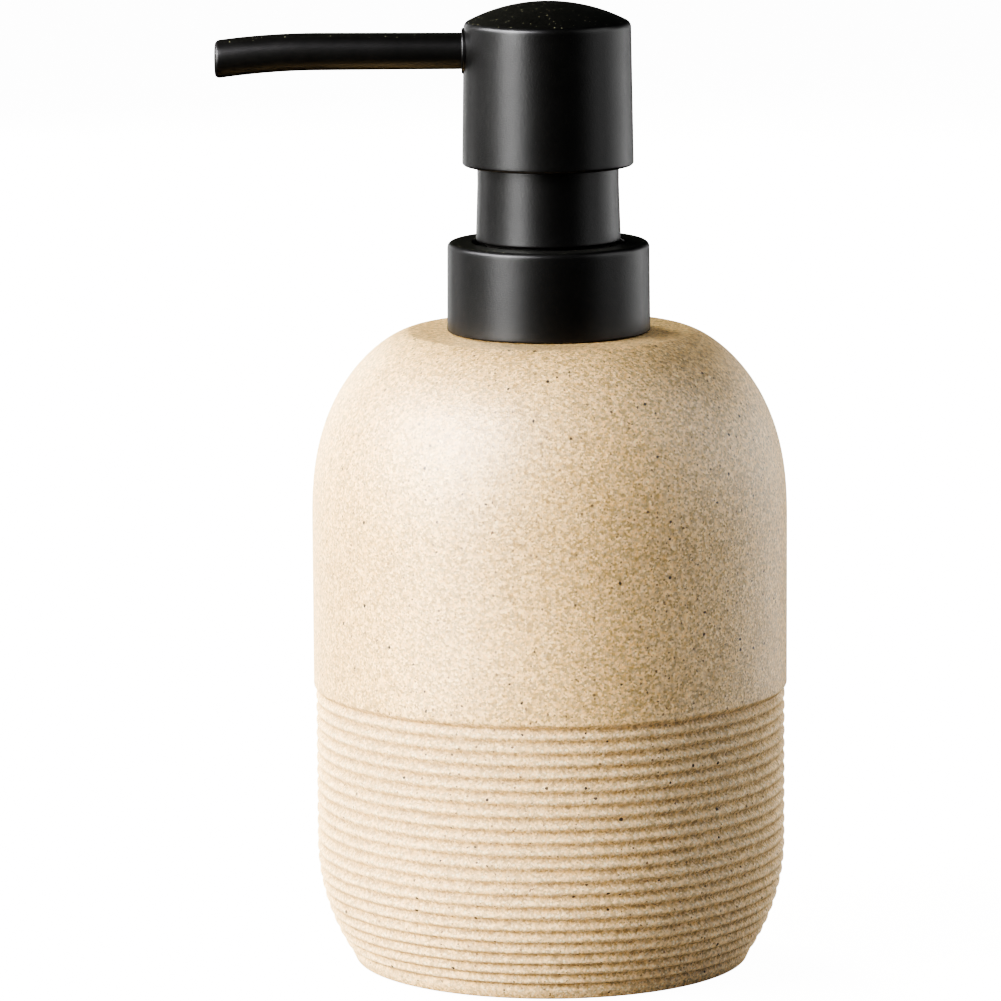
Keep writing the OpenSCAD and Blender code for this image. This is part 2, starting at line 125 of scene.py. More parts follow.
# --- mesh building ----------------------------------------------------------
def arc(centre_r, centre_z, radius, start, end, steps):
    """Points of an arc, with angles in degrees."""
    return [
        (centre_r + radius * math.cos(a), centre_z + radius * math.sin(a))
        for a in np.radians(np.linspace(start, end, steps + 1))
    ]


def rounded(corners, steps=5):
    """A closed outline through corners (r, z, fillet). Short leads run up to each fillet's arc."""
    outline = []
    for k, (r, z, fillet) in enumerate(corners):
        here = np.array((r, z))
        before = np.array(corners[k - 1][:2]) - here
        after = np.array(corners[(k + 1) % len(corners)][:2]) - here
        reach = min(np.linalg.norm(before), np.linalg.norm(after))
        before, after = before / np.linalg.norm(before), after / np.linalg.norm(after)
        half = math.acos(float(np.clip(before @ after, -1, 1))) / 2
        if fillet == 0 or half > 1.5:
            outline.append((r, z))
            continue
        run = fillet / math.tan(half)
        middle = (before + after) / np.linalg.norm(before + after)
        centre = here + middle * fillet / math.sin(half)
        first, last = here + before * run - centre, here + after * run - centre
        lead = min(0.4 * run, 0.45 * reach - run)
        if lead > 0:
            outline.append(tuple(here + before * (run + lead)))
        turn = math.atan2(first[0] * last[1] - first[1] * last[0], first @ last)
        for t in np.linspace(0, turn, steps + 1):
            c, s = math.cos(t), math.sin(t)
            outline.append((
                centre[0] + c * first[0] - s * first[1],
                centre[1] + s * first[0] + c * first[1],
            ))
        if lead > 0:
            outline.append(tuple(here + after * (run + lead)))
    return outline


def turned(outline, columns=COLUMNS):
    """Rings of points round Z, one for each (radius, height) of the outline."""
    angles = np.linspace(0, 2 * math.pi, columns, endpoint=False)
    r, z = np.array(outline, float).T
    return np.stack(
        [np.outer(r, np.cos(angles)), np.outer(r, np.sin(angles)), np.repeat(z[:, None], columns, 1)], -1
    )


def skin(name, rings, loop=True, sharp=35):
    """A closed mesh through rings of points.

    A loop joins the last ring to the first one; otherwise each end ring is closed over its middle.
    """
    rings = np.asarray(rings, float)
    count, sides = rings.shape[:2]
    points = rings.reshape(-1, 3).tolist()
    i, j = np.meshgrid(np.arange(count if loop else count - 1), np.arange(sides), indexing="ij")
    up, across = (i + 1) % count, (j + 1) % sides
    quads = np.stack([i * sides + j, i * sides + across, up * sides + across, up * sides + j], -1)
    faces = quads.reshape(-1, 4).tolist()
    if not loop:
        for ring, flip in ((0, 1), (count - 1, -1)):
            centre = len(points)
            points.append(rings[ring].mean(0).tolist())
            for k in range(sides):
                faces.append([centre, *[ring * sides + k, ring * sides + (k + 1) % sides][::-flip]])
    mesh = bpy.data.meshes.new(name)
    mesh.from_pydata(points, [], faces)
    mesh.shade_smooth()
    if signed_volume(mesh) < 0:
        mesh.flip_normals()
    mesh.set_sharp_from_angle(angle=math.radians(sharp))
    piece = bpy.data.objects.new(name, mesh)
    bpy.context.scene.collection.objects.link(piece)
    return piece


def signed_volume(mesh):
    """Negative when the faces look inwards."""
    mesh.calc_loop_triangles()
    co = np.zeros(len(mesh.vertices) * 3)
    mesh.vertices.foreach_get("co", co)
    corners = np.zeros(len(mesh.loop_triangles) * 3, np.int32)
    mesh.loop_triangles.foreach_get("vertices", corners)
    a, b, c = co.reshape(-1, 3)[corners].reshape(-1, 3, 3).transpose(1, 0, 2)
    return float(np.einsum("ij,ij->i", a, np.cross(b, c)).sum() / 6)


def attribute(piece, name, values):
    """Stores one number for each vertex, for the material to read."""
    layer = piece.data.attributes.new(name, "FLOAT", "POINT")
    full = np.zeros(len(piece.data.vertices), np.float32)
    values = np.asarray(values, np.float32).ravel()
    full[: len(values)] = values
    layer.data.foreach_set("value", full)


def join(name, pieces):
    """One object of several closed shells."""
    with bpy.context.temp_override(active_object=pieces[0], selected_editable_objects=pieces):
        bpy.ops.object.join()
    pieces[0].name = pieces[0].data.name = name
    return pieces[0]


def carve(piece, other, operation="DIFFERENCE"):
    """Cuts one shape out of another for good, or unites them."""
    cut = piece.modifiers.new("cut", "BOOLEAN")
    cut.operation, cut.solver, cut.object = operation, "EXACT", other
    depsgraph = bpy.context.evaluated_depsgraph_get()
    mesh = bpy.data.meshes.new_from_object(piece.evaluated_get(depsgraph))
    piece.modifiers.clear()
    piece.data = mesh
    bpy.data.objects.remove(other)
    return piece


def place(piece, body, slot, material, *nodes):
    """Gives a piece its body and its material, and hides the CAD nodes that it stands for; the slot is
    not used.
    """
    piece.data.materials.clear()
    piece.data.materials.append(material)
    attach(piece, body)
    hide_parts(*nodes)
    return piece


# --- material building --------------------------------------------------------
def new_material(name):
    material = bpy.data.materials.new(name)
    material.use_nodes = True
    tree = material.node_tree
    return material, tree, tree.nodes["Principled BSDF"]


def node(tree, kind, inputs=None, **settings):
    """Adds a shader node. Each input is a value, or another node's output to link."""
    made = tree.nodes.new("ShaderNode" + kind)
    for name, value in settings.items():
        setattr(made, name, value)
    for name, value in (inputs or {}).items():
        if isinstance(value, bpy.types.NodeSocket):
            tree.links.new(value, made.inputs[name])
        else:
            made.inputs[name].default_value = value
    return made


def calc(tree, operation, a, b=0.0, c=0.0, clamp=False):
    return node(tree, "Math", {0: a, 1: b, 2: c}, operation=operation, use_clamp=clamp).outputs[0]


def blend(tree, factor, a, b, mode="MIX"):
    """Mixes two colours, or multiplies them with mode MULTIPLY."""
    made = node(tree, "Mix", {0: factor}, data_type="RGBA", blend_type=mode)
    for socket, value in ((6, a), (7, b)):
        if isinstance(value, bpy.types.NodeSocket):
            tree.links.new(value, made.inputs[socket])
        else:
            made.inputs[socket].default_value = (*value, 1)
    return made.outputs[2]


def ramp(tree, factor, stops, smooth=False):
    """A colour ramp. Each stop is (place, grey) or (place, (r, g, b))."""
    made = node(tree, "ValToRGB", {0: factor})
    band = made.color_ramp
    band.interpolation = "EASE" if smooth else "LINEAR"
    while len(band.elements) < len(stops):
        band.elements.new(0.5)
    for element, (at, colour) in zip(band.elements, stops):
        element.position = at
        element.color = (*colour, 1) if isinstance(colour, tuple) else (colour, colour, colour, 1)
    return made.outputs[0]


def noise(tree, where, scale, detail=2.0, roughness=0.5):
    settings = {"Vector": where, "Scale": scale, "Detail": detail, "Roughness": roughness}
    return node(tree, "TexNoise", settings).outputs[0]


def cells(tree, where, scale):
    """Voronoi cells: the distance to the middle of each one, and its own random colour."""
    made = node(tree, "TexVoronoi", {"Vector": where, "Scale": scale})
    return made.outputs["Distance"], made.outputs["Color"]


def channel(tree, colour, index):
    return node(tree, "SeparateColor", {0: colour}).outputs[index]


def bump(tree, height, distance, strength=1.0, under=None):
    inputs = {"Height": height, "Distance": distance, "Strength": strength}
    if under:
        inputs["Normal"] = under
    return node(tree, "Bump", inputs).outputs[0]


def stone_resin():
    """Cast sandstone resin: fine cream and tan grain, sparse dark specks, pale gritty flecks, a painted
    highlight on the ribs' crests and painted shade in the grooves.
    """
    material, tree, shader = new_material("stone_resin")
    here = node(tree, "TexCoord").outputs["Object"]
    groove = node(tree, "Attribute", attribute_name="groove").outputs["Fac"]
    ribbed = node(tree, "Attribute", attribute_name="ribbed").outputs["Fac"]

    grain_edge, grain = cells(tree, here, 2900)
    tone = ramp(tree, channel(tree, grain, 0), [
        (0.0, (0.45, 0.315, 0.16)), (0.25, (0.57, 0.40, 0.21)), (0.45, (0.70, 0.492, 0.258)),
        (0.68, (0.83, 0.585, 0.31)), (0.88, (0.96, 0.69, 0.375)), (1.0, (1.0, 0.76, 0.45)),
    ])
    hue = ramp(tree, noise(tree, here, 1700, 2, 0.6), [
        (0.32, (1.02, 0.96, 0.80)), (0.5, (1.0, 1.0, 1.0)), (0.68, (0.98, 1.01, 1.16)),
    ])
    tone = blend(tree, 1, tone, hue, "MULTIPLY")
    soft = ramp(tree, noise(tree, here, 1300, 3, 0.6), [
        (0.30, (0.80, 0.75, 0.66)), (0.70, (1.17, 1.17, 1.17)),
    ])
    cloud = ramp(tree, noise(tree, here, 34, 3, 0.55), [(0.30, 0.94), (0.70, 1.05)])
    colour = blend(tree, 1, blend(tree, 1, tone, soft, "MULTIPLY"), cloud, "MULTIPLY")

    # pale grit, and a painted highlight: the ribs' crests are painted paler and carry more of the grit
    grit_far, grit_pick = cells(tree, here, 2000)
    grit_and_crest_light = calc(tree, "MULTIPLY", calc(tree, "LESS_THAN", grit_far, 0.38),
                calc(tree, "GREATER_THAN", channel(tree, grit_pick, 1), 0.5))
    crest = calc(tree, "MULTIPLY", ribbed, calc(tree, "SUBTRACT", 1.0, groove), clamp=True)
    # painted highlight: the crests are mixed towards a pale cream
    colour = blend(tree, calc(tree, "MULTIPLY", crest, 0.22), colour, (0.92, 0.76, 0.54))
    grit_and_crest_light = calc(tree, "MULTIPLY", grit_and_crest_light, calc(tree, "MULTIPLY_ADD", crest, 0.5, 0.12))
    colour = blend(tree, grit_and_crest_light, colour, (0.98, 0.87, 0.66))

    # painted shade: the grooves are painted darker and duller
    groove_shade = calc(tree, "POWER", groove, 0.7)
    colour = blend(tree, groove_shade, colour, blend(tree, 1, colour, (0.71, 0.685, 0.63), "MULTIPLY"))

    # dark mineral specks of a few sizes, with ragged edges
    wobble = node(tree, "TexNoise", {"Vector": here, "Scale": 2600.0}).outputs["Color"]
    small = (0.0004, 0.0004, 0.0004)
    wobble = node(tree, "VectorMath", {0: wobble, 1: small}, operation="MULTIPLY").outputs[0]
    ragged = node(tree, "VectorMath", {0: here, 1: wobble}, operation="ADD").outputs[0]
    for scale, reach, share, shade in (
        (520, 0.13, 0.75, (0.05, 0.032, 0.02)),
        (700, 0.14, 0.82, (0.16, 0.10, 0.055)),
        (1100, 0.20, 0.74, (0.25, 0.165, 0.09)),
    ):
        far, pick = cells(tree, ragged, scale)
        chosen = calc(tree, "GREATER_THAN", channel(tree, pick, 0), share)
        size = calc(tree, "MULTIPLY_ADD", channel(tree, pick, 2), 0.6 * reach, 0.6 * reach)
        inside = calc(tree, "LESS_THAN", far, size)
        colour = blend(tree, calc(tree, "MULTIPLY", inside, chosen), colour, shade)
    tree.links.new(colour, shader.inputs["Base Color"])

    rough = ramp(tree, noise(tree, here, 900, 2, 0.6), [(0.3, 0.36), (0.7, 0.48)])
    tree.links.new(blend(tree, ribbed, rough, (0.8, 0.8, 0.8)), shader.inputs["Roughness"])
    shader.inputs["Specular IOR Level"].default_value = 1.0
    grainy = bump(tree, grain_edge, 0.00009, 0.35)
    sandy_bump = bump(tree, noise(tree, here, 1500, 4, 0.65), 0.00022, 0.32, grainy)
    wavy = bump(tree, noise(tree, here, 160, 2, 0.5), 0.0004, 0.12, sandy_bump)
    tree.links.new(wavy, shader.inputs["Normal"])
    return material


def black_plastic(name, base, low_rough, high_rough, grain, greying=0.0, shine=0.5):
    """Satin black moulded plastic: fine mould texture, faint smudges, a little dust on what faces up.

    The spout's colour greys away from the head.
    """
    material, tree, shader = new_material(name)
    here = node(tree, "TexCoord").outputs["Object"]
    mottle = ramp(tree, noise(tree, here, 260, 3, 0.6), [(0.3, 0.8), (0.7, 1.25)])
    colour = blend(tree, 1, base, mottle, "MULTIPLY")
    if greying:
        # the colour greys with distance from the head, towards the tip
        away = calc(tree, "MULTIPLY", node(tree, "SeparateXYZ", {0: here}).outputs[0], -greying, clamp=True)
        haze = ramp(tree, noise(tree, here, 700, 3, 0.6), [(0.3, 0.6), (0.7, 1.4)])
        colour = blend(tree, away, colour, blend(tree, 1, (0.008, 0.0075, 0.008), haze, "MULTIPLY"))

    up = channel(tree, node(tree, "NewGeometry").outputs["Normal"], 2)
    far, pick = cells(tree, here, 1300)
    size = calc(tree, "MULTIPLY_ADD", channel(tree, pick, 2), 0.16, 0.06)
    mote = calc(tree, "MULTIPLY", calc(tree, "LESS_THAN", far, size),
                calc(tree, "GREATER_THAN", channel(tree, pick, 0), 0.2))
    mote = calc(tree, "MULTIPLY", mote, calc(tree, "GREATER_THAN", up, 0.8))
    colour = blend(tree, calc(tree, "MULTIPLY", mote, 0.45), colour, (0.44, 0.44, 0.33))
    patchy = ramp(tree, noise(tree, here, 2200, 3, 0.7), [(0.35, 0.12), (0.65, 0.55)])
    film = calc(tree, "MULTIPLY", calc(tree, "SUBTRACT", up, 0.75, clamp=True), patchy)
    colour = blend(tree, film, colour, (0.125, 0.13, 0.11))
    tree.links.new(colour, shader.inputs["Base Color"])

    smudge = ramp(tree, noise(tree, here, 55, 4, 0.55), [(0.32, low_rough), (0.72, high_rough)])
    tree.links.new(smudge, shader.inputs["Roughness"])
    shader.inputs["Specular IOR Level"].default_value = shine
    fine = bump(tree, noise(tree, here, 4200, 3, 0.6), 0.00003, grain)
    uneven = bump(tree, noise(tree, here, 420, 2, 0.5), 0.00008, 0.05, fine)
    tree.links.new(uneven, shader.inputs["Normal"])
    return material


def natural_plastic():
    """Unpigmented polypropylene: milky, a little glossy, with faint flow marks."""
    material, tree, shader = new_material("natural_plastic")
    here = node(tree, "TexCoord").outputs["Object"]
    flow = node(tree, "Mapping", {"Vector": here, "Scale": (1.0, 1.0, 0.12)}).outputs[0]
    tint = ramp(tree, noise(tree, flow, 240, 3, 0.55), [
        (0.3, (0.70, 0.68, 0.61)), (0.7, (0.82, 0.80, 0.74)),
    ])
    tree.links.new(tint, shader.inputs["Base Color"])
    rough = ramp(tree, noise(tree, here, 180, 3), [(0.3, 0.32), (0.7, 0.48)])
    tree.links.new(rough, shader.inputs["Roughness"])
    shader.inputs["Subsurface Weight"].default_value = 0.15
    shader.inputs["Subsurface Scale"].default_value = 0.001
    tree.links.new(bump(tree, noise(tree, flow, 1500, 2), 0.00003, 0.25), shader.inputs["Normal"])
    return material


def steel():
    """Drawn stainless wire and ball steel, with fine lines along the draw."""
    material, tree, shader = new_material("steel")
    here = node(tree, "TexCoord").outputs["Object"]
    lines = node(tree, "Mapping", {"Vector": here, "Scale": (0.25, 0.25, 1.0)}).outputs[0]
    drawn = noise(tree, lines, 4200, 3, 0.6)
    tint = ramp(tree, drawn, [(0.3, (0.50, 0.51, 0.52)), (0.7, (0.64, 0.65, 0.66))])
    tree.links.new(tint, shader.inputs["Base Color"])
    tree.links.new(ramp(tree, drawn, [(0.3, 0.2), (0.7, 0.34)]), shader.inputs["Roughness"])
    shader.inputs["Metallic"].default_value = 1
    tree.links.new(bump(tree, drawn, 0.00001, 0.4), shader.inputs["Normal"])
    return material


def foam():
    """Closed-cell foam: dark, with small round cells cut open at the surface, and painted shade darkening
    each cell's pit.
    """
    material, tree, shader = new_material("foam")
    here = node(tree, "TexCoord").outputs["Object"]
    far, pick = cells(tree, here, 2600)
    pit = ramp(tree, far, [(0.0, 0.0), (0.55, 1.0)], smooth=True)
    shade = ramp(tree, channel(tree, pick, 0), [(0.0, 0.7), (1.0, 1.3)])
    # painted shade: each open cell is painted darker towards its middle
    dark = blend(tree, pit, (0.012, 0.0115, 0.011), (0.045, 0.043, 0.041))
    tree.links.new(blend(tree, 1, dark, shade, "MULTIPLY"), shader.inputs["Base Color"])
    rough = ramp(tree, noise(tree, here, 300), [(0.3, 0.82), (0.7, 0.97)])
    tree.links.new(rough, shader.inputs["Roughness"])
    tree.links.new(bump(tree, pit, 0.00012, 0.8), shader.inputs["Normal"])
    return material


# --- the bottle -----------------------------------------------------------------
def ripple(angles, levels, waves, rng, drift):
    """Slow unevenness from -1 to 1: waves round the bottle, whose phase drifts with the level."""
    total = np.zeros((len(levels), len(angles)))
    for wave in waves:
        phase, lean = rng.uniform(0, 2 * math.pi), rng.normal(0, drift)
        total += np.cos(wave * angles[None] + phase + lean * levels[:, None])
    return total / math.sqrt(len(waves)) / 1.5


def shoulder_curve(side_r, flat_r, low_z, high_z, steps):
    """The rounded shoulder, from the flat top down to the side."""
    spread, rise = SHOULDER_POWERS
    return [
        (
            flat_r + (side_r - flat_r) * math.sin(t) ** spread,
            low_z + (high_z - low_z) * math.cos(t) ** rise,
        )
        for t in np.linspace(0, math.pi / 2, steps + 1)
    ]


def foot_surface(side_r, s):
    """Radius, height and outward direction of the ribbed side, at a distance s below the first groove."""
    straight = FIRST_GROOVE_Z - FOOT_Z
    angle = np.clip((s - straight) / FOOT_R, 0, None)
    r = side_r - FOOT_R * (1 - np.cos(angle))
    z = FIRST_GROOVE_Z - np.minimum(s, straight) - FOOT_R * np.sin(angle)
    return r, z, np.cos(angle), -np.sin(angle)


def ribbed_rings(side_r, angles, rng):
    """The ribbed lower side: rounded crests between narrow grooves that were cut a little unevenly."""
    rows = np.arange(GROOVES * RIB_ROWS + 1) / RIB_ROWS - 0.5
    depth = (0.5 + 0.5 * np.cos(2 * math.pi * rows)) ** 1.2
    wander = ripple(angles, rows, range(2, 9), rng, 0.9) * 0.05 * MM
    wander += ripple(angles, rows, range(20, 90, 7), rng, 2.0) * 0.025 * MM
    uneven = 1 + 0.16 * ripple(angles, rows, range(3, 30, 4), rng, 1.6)
    chipped = 0.035 * MM * ripple(angles, rows, range(40, 150, 9), rng, 2.5)
    s = rows[:, None] * PITCH + wander
    r, z, out_r, out_z = foot_surface(side_r, s)
    step_in = np.clip((rows + 0.5) / 0.5, 0, 1)
    step_in = RIB_INSET * step_in**2 * (3 - 2 * step_in)
    sink = step_in[:, None] + GROOVE_DEPTH * depth[:, None] * uneven
    sink = sink + chipped * np.minimum(1, rows + 0.5)[:, None]
    r, z = r - sink * out_r, z - sink * out_z
    rings = np.stack([r * np.cos(angles), r * np.sin(angles), z], -1)
    groove = np.repeat(depth[:, None], len(angles), 1)
    ribbed = np.repeat(np.clip(rows + 0.6, 0, 1)[:, None], len(angles), 1)
    return rings, groove, ribbed


def bottle_upper(side_r, top_z):
    """Outline from the cavity's floor up to the mouth, over the shoulder and down the plain side.

    The second value is 1 at each point of the shoulder and side, where the casting is a little uneven.
    """
    cavity_r, roof_z = side_r - WALL, top_z - TOP_WALL
    floor_angle = math.degrees(math.asin((FOOT_Z - CAVITY_FLOOR) / (FOOT_R - WALL)))
    inside = arc(cavity_r - FOOT_R + WALL, FOOT_Z, FOOT_R - WALL, -floor_angle, 0, 8)
    inside = [(inside[0][0] * t, CAVITY_FLOOR) for t in (0.3, 0.7, 0.97)] + inside
    inside += shoulder_curve(cavity_r, FLAT_R - WALL / 2, top_z - SHOULDER_H, roof_z, 18)[::-1]
    mouth = [
        (MOUTH_R + 0.6 * MM, roof_z), (MOUTH_R, roof_z + 0.3 * MM), (MOUTH_R, top_z - 0.4 * MM),
        (MOUTH_R + 0.12 * MM, top_z - 0.12 * MM), (MOUTH_R + 0.4 * MM, top_z),
    ]
    flat = [(r, top_z) for r in np.linspace(MOUTH_R + 1 * MM, FLAT_R - 0.6 * MM, 5)]
    shoulder = shoulder_curve(side_r, FLAT_R, top_z - SHOULDER_H, top_z, 60)
    side = [(side_r, z) for z in np.linspace(shoulder[-1][1], FIRST_GROOVE_Z + 0.56 * PITCH, 14)[1:]]
    even, cast = inside + mouth + flat, shoulder + side
    return even + cast, np.array([0.0] * len(even) + [1.0] * len(cast))


def bottle_foot(side_r, foot_z):
    """Outline of the foot's rounded edge, and of the recess that the pad sits in."""
    pad_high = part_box("base_pad")[1]
    pad_r = pad_high.x + PAD_GAP
    end_angle = math.degrees(math.asin((FOOT_Z - foot_z - FOOT_EDGE) / FOOT_R))
    end_r = side_r - RIB_INSET - FOOT_R * (1 - math.cos(math.radians(end_angle)))
    edge = arc(end_r - FOOT_EDGE, foot_z + FOOT_EDGE, FOOT_EDGE, -end_angle, -90, 6)
    return edge + [
        (pad_r + 0.5 * MM, foot_z), (pad_r + 0.15 * MM, foot_z + 0.1 * MM), (pad_r, foot_z + 0.35 * MM),
        *[(pad_r * t, pad_high.z) for t in (1, 0.97, 0.6, 0.2)],
    ]


def bottle_body(material):
    low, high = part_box("bottle_body")
    rng = np.random.default_rng(SEED)
    angles = np.linspace(0, 2 * math.pi, BOTTLE_COLUMNS, endpoint=False)
    upper, cast = bottle_upper(high.x, high.z)
    ribs, groove, ribbed = ribbed_rings(high.x, angles, rng)
    plain = turned(upper, BOTTLE_COLUMNS)
    foot = turned(bottle_foot(high.x, low.z), BOTTLE_COLUMNS)

    levels = np.array([z for _, z in upper]) / (20 * MM)
    swell = ripple(angles, levels, (2, 3, 5), rng, 0.6) * 0.04 * MM
    plain[..., 0] += swell * cast[:, None] * np.cos(angles)
    plain[..., 1] += swell * cast[:, None] * np.sin(angles)
    piece = skin("bottle", np.concatenate([plain, ribs, foot]), loop=False, sharp=60)
    nothing = np.zeros((len(upper), BOTTLE_COLUMNS))
    attribute(piece, "groove", np.concatenate([nothing, groove]))
    attribute(piece, "ribbed", np.concatenate([nothing, ribbed]))
    return place(piece, "bottle", "stone_resin", material, "bottle_body")


def base_pad(material):
    low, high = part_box("base_pad")
    edge = arc(high.x - 0.35 * MM, low.z + 0.35 * MM, 0.35 * MM, -90, 0, 5)
    edge += arc(high.x - 0.2 * MM, high.z - 0.2 * MM, 0.2 * MM, 0, 90, 4)
    under = [(high.x * t, low.z) for t in (0.3, 0.95)]
    over = [(high.x * t, high.z) for t in (0.95, 0.3)]
    piece = skin("foam_pad", turned(under + edge + over), loop=False)
    place(piece, "bottle", "foam", material, "base_pad")
    return piece


# --- the pump's outside -----------------------------------------------------------
def helix_ridge(name, root_r, crest_r, root_w, crest_w, start_z, turns, steps=48):
    """A thread's ridge with run-outs at both ends."""
    rings = []
    count = int(turns * steps)
    for i in range(count + 1):
        angle = 2 * math.pi * i / steps
        full = min(1.0, min(i, count - i) / 7 + 0.1)
        tip, half = root_r + (crest_r - root_r) * full, (root_w + (crest_w - root_w) * full) / 2
        z = start_z + THREAD_PITCH * i / steps
        section = [
            (root_r, -root_w / 2), (tip - 0.15 * MM, -half - 0.12 * MM), (tip, -half + 0.12 * MM),
            (tip, half - 0.12 * MM), (tip - 0.15 * MM, half + 0.12 * MM), (root_r, root_w / 2),
        ]
        rings.append([(r * math.cos(angle), r * math.sin(angle), z + dz) for r, dz in section])
    return skin(name, rings, loop=False, sharp=40)


def neck_insert(material):
    low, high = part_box("neck_insert")
    root_r, bore_r, flange_r, plug_r = 12.55 * MM, 10.6 * MM, high.x, 13.2 * MM
    deck_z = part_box("bottle_body")[1].z + 0.02 * MM
    ring = skin("neck", turned(rounded([
        (bore_r, low.z, 0.3 * MM), (plug_r, low.z, 0.4 * MM), (plug_r, deck_z, 0),
        (flange_r, deck_z, 0.15 * MM), (flange_r, deck_z + 1.18 * MM, 0.3 * MM),
        (root_r, deck_z + 1.18 * MM, 0.3 * MM), (root_r, high.z, 0.4 * MM), (bore_r, high.z, 0.3 * MM),
    ])))
    thread = helix_ridge(
        "thread", root_r - 0.3 * MM, crest_r=13.7 * MM, root_w=2.5 * MM, crest_w=1.1 * MM,
        start_z=deck_z + 3.28 * MM, turns=1.1,
    )
    return place(join("neck", [ring, thread]), "bottle", "natural_plastic", material, "neck_insert")


def collar(material):
    low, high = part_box("collar_shell")
    hole_r, web_z = 12.2 * MM, high.z - 1.07 * MM     # a tighter hole than the CAD's running gap
    outline = rounded([
        (hole_r, web_z, 0.1 * MM), (hole_r, high.z, 0.25 * MM),
        (high.x - 0.1 * MM, high.z, 0.9 * MM), (high.x, low.z, 0.3 * MM),
        (high.x - SHELL_T, low.z, 0.25 * MM), (high.x - SHELL_T, web_z, 0.3 * MM),
    ], steps=8)
    return place(skin("collar", turned(outline)), "closure", "black_cap", material, "collar_shell")


def sleeve(material):
    low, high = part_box("neck_sleeve")
    foot_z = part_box("collar_shell")[1].z + 0.05 * MM     # seated closer than the CAD's running gap
    taper_z = foot_z + 9.25 * MM
    neck_r, wall, floor_t = 11.4 * MM, 1.25 * MM, 1.4 * MM
    bore_r, cap_r = 5.25 * MM, 9.95 * MM
    outline = rounded([
        (cap_r, foot_z, 0.1 * MM), (high.x, foot_z, 0.5 * MM),
        (neck_r, taper_z, 30 * MM), (neck_r, high.z, 0.4 * MM),
        (neck_r - wall, high.z, 0.3 * MM), (neck_r - wall, low.z + floor_t, 0.5 * MM),
        (bore_r, low.z + floor_t, 0.2 * MM), (bore_r, low.z, 0.1 * MM), (cap_r, low.z, 0.1 * MM),
    ], steps=7)
    return place(skin("sleeve", turned(outline)), "pump_core", "black_cap", material, "neck_sleeve")


def head_outline(low, high):
    """Outline from under the dome, down inside the skirt, round its rim and up over the dome."""
    skirt_r, top_r, rim, inner_rim = high.x, high.x - 0.35 * MM, 0.5 * MM, 0.3 * MM
    dome_z = high.z - DOME_R
    edge_r, edge_reach = top_r - DOME_EDGE, DOME_R - DOME_EDGE
    edge_angle = math.degrees(math.acos(edge_r / edge_reach))
    edge_z = dome_z + edge_reach * math.sin(math.radians(edge_angle))
    ledge_z, ledge_r, upper_r = high.z - 10.5 * MM, 12.25 * MM, top_r - HEAD_WALL - 0.35 * MM
    inner_r = DOME_R - HEAD_WALL
    inner_angle = math.degrees(math.acos(upper_r / inner_r))

    under = arc(0, dome_z, inner_r, 88, inner_angle, 8)
    step = [(upper_r, ledge_z), (ledge_r, ledge_z), (ledge_r, ledge_z - 0.2 * MM)]
    skirt = arc(skirt_r - HEAD_WALL + inner_rim, low.z + inner_rim, inner_rim, 180, 270, 4)
    skirt += arc(skirt_r - rim, low.z + rim, rim, -90, 0, 8)
    walls = [
        (skirt_r + (top_r - skirt_r) * t, low.z + rim + (edge_z - low.z - rim) * t)
        for t in (0.02, 0.5, 0.98)
    ]
    over = arc(edge_r, edge_z, DOME_EDGE, 0, edge_angle, 10)[:-1]
    over += arc(0, dome_z, DOME_R, edge_angle, 88, 16)
    return under + step + skirt + walls + over


def spout_seat(reach, spout_z):
    """The boss round the spout's root, and the bore to cut for the spout, both along -X."""
    boss_in, bore_r = SPOUT_R - 0.3 * MM, SPOUT_R + 0.07 * MM
    boss = skin("boss", turned(rounded([
        (boss_in, 12.1 * MM, 0), (BOSS_R, 12.1 * MM, 0), (BOSS_R, reach, 0.28 * MM), (boss_in, reach, 0),
    ]), 72))
    bore = skin("bore", turned([
        (0.5 * MM, 9 * MM), (bore_r, 9 * MM), (bore_r, 16 * MM), (0.5 * MM, 16 * MM),
    ], 72), loop=False)
    sideways = Matrix.Translation((0, 0, spout_z)) @ Matrix.Rotation(math.radians(-90), 4, "Y")
    for piece in (boss, bore):
        piece.data.transform(sideways)
    return boss, bore


def head(material):
    low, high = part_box("head_shell")
    shell = skin("head", turned(head_outline(low, high), 200), loop=False)
    boss, bore = spout_seat(-low.x, high.z - SPOUT_DROP)
    piece = carve(carve(shell, boss, "UNION"), bore)
    piece.data.set_sharp_from_angle(angle=math.radians(35))
    return place(piece, "head", "black_cap", material, "head_shell")


def spout_line(distance):
    """Centre and direction of the spout at a distance along it from the pump's axis."""
    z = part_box("head_shell")[1].z - SPOUT_DROP
    if distance <= SPOUT_STRAIGHT:
        return Vector((-distance, 0, z)), Vector((-1, 0, 0))
    turn = (distance - SPOUT_STRAIGHT) / SPOUT_BEND_R
    drop = SPOUT_BEND_R * (1 - math.cos(turn))
    centre = Vector((-SPOUT_STRAIGHT - SPOUT_BEND_R * math.sin(turn), 0, z - drop))
    return centre, Vector((-math.cos(turn), 0, -math.sin(turn)))


def spout_ring(distance, radius, tip, columns=72):
    """A ring of the spout. Towards the tip it turns upright, because the end is cut upright."""
    centre, along = spout_line(distance)
    square = min(1, max(0, 1 - (tip - distance) / (4 * MM)))
    side = Vector((0, 1, 0))
    up = along.lerp(Vector((-1, 0, 0)), square).normalized().cross(side)
    return [
        centre + (math.cos(a) * side + math.sin(a) * up) * float(radius)
        for a in np.linspace(0, 2 * math.pi, columns, endpoint=False)
    ]


